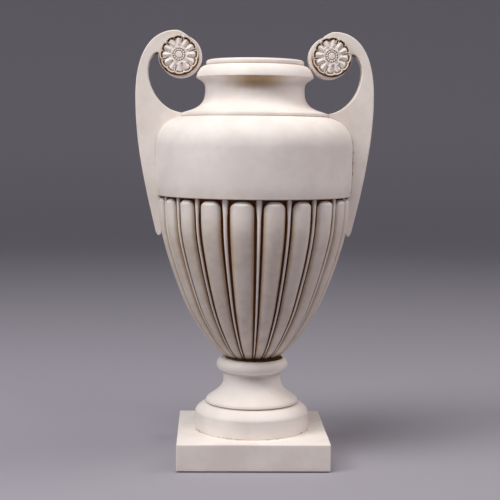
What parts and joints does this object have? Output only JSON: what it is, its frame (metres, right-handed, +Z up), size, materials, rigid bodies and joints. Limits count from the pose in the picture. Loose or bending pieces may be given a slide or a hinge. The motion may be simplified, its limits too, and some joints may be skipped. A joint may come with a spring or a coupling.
{
  "type": "amphora urn",
  "caption": "Footed two-handled amphora urn with gadrooned bowl, plain belly band, flared rim and volute handles with rosettes, on a square plinth",
  "frame": {"origin": "centre of the footprint, on the plane the felt pads stand on", "axes": "+Z up along the urn's axis; +X through the two handles; -Y is the front"},
  "size_m": [0.3324, 0.276, 0.5986],
  "materials": {
    "cast_stone": "matt ivory bonded marble, umber wash in the recesses",
    "bedding_mortar": "dark brown bedding mortar",
    "stainless_steel": "bright rolled",
    "seal_rubber": "matt black",
    "pad_felt": "pressed grey felt"
  },
  "bodies": {
    "root": {"plinth": "cast_stone", "foot_drum": "cast_stone", "foot_stem": "cast_stone", "gadrooned_bowl": "cast_stone", "shoulder_shell": "cast_stone", "neck_rim": "cast_stone", "handle_left": "cast_stone", "handle_right": "cast_stone", "rosette_left_front": "cast_stone", "rosette_left_back": "cast_stone", "rosette_right_front": "cast_stone", "rosette_right_back": "cast_stone", "bowl_bed": "bedding_mortar", "handle_left_pin_lower": "stainless_steel", "handle_left_pin_upper": "stainless_steel", "handle_right_pin_lower": "stainless_steel", "handle_right_pin_upper": "stainless_steel", "nut_lower": "stainless_steel", "nut_upper": "stainless_steel", "tie_rod": "stainless_steel", "washer_lower": "stainless_steel", "washer_upper": "stainless_steel", "rubber_seal": "seal_rubber", "felt_pad_front_left": "pad_felt", "felt_pad_front_right": "pad_felt", "felt_pad_back_left": "pad_felt", "felt_pad_back_right": "pad_felt"}
  },
  "joints": []
}
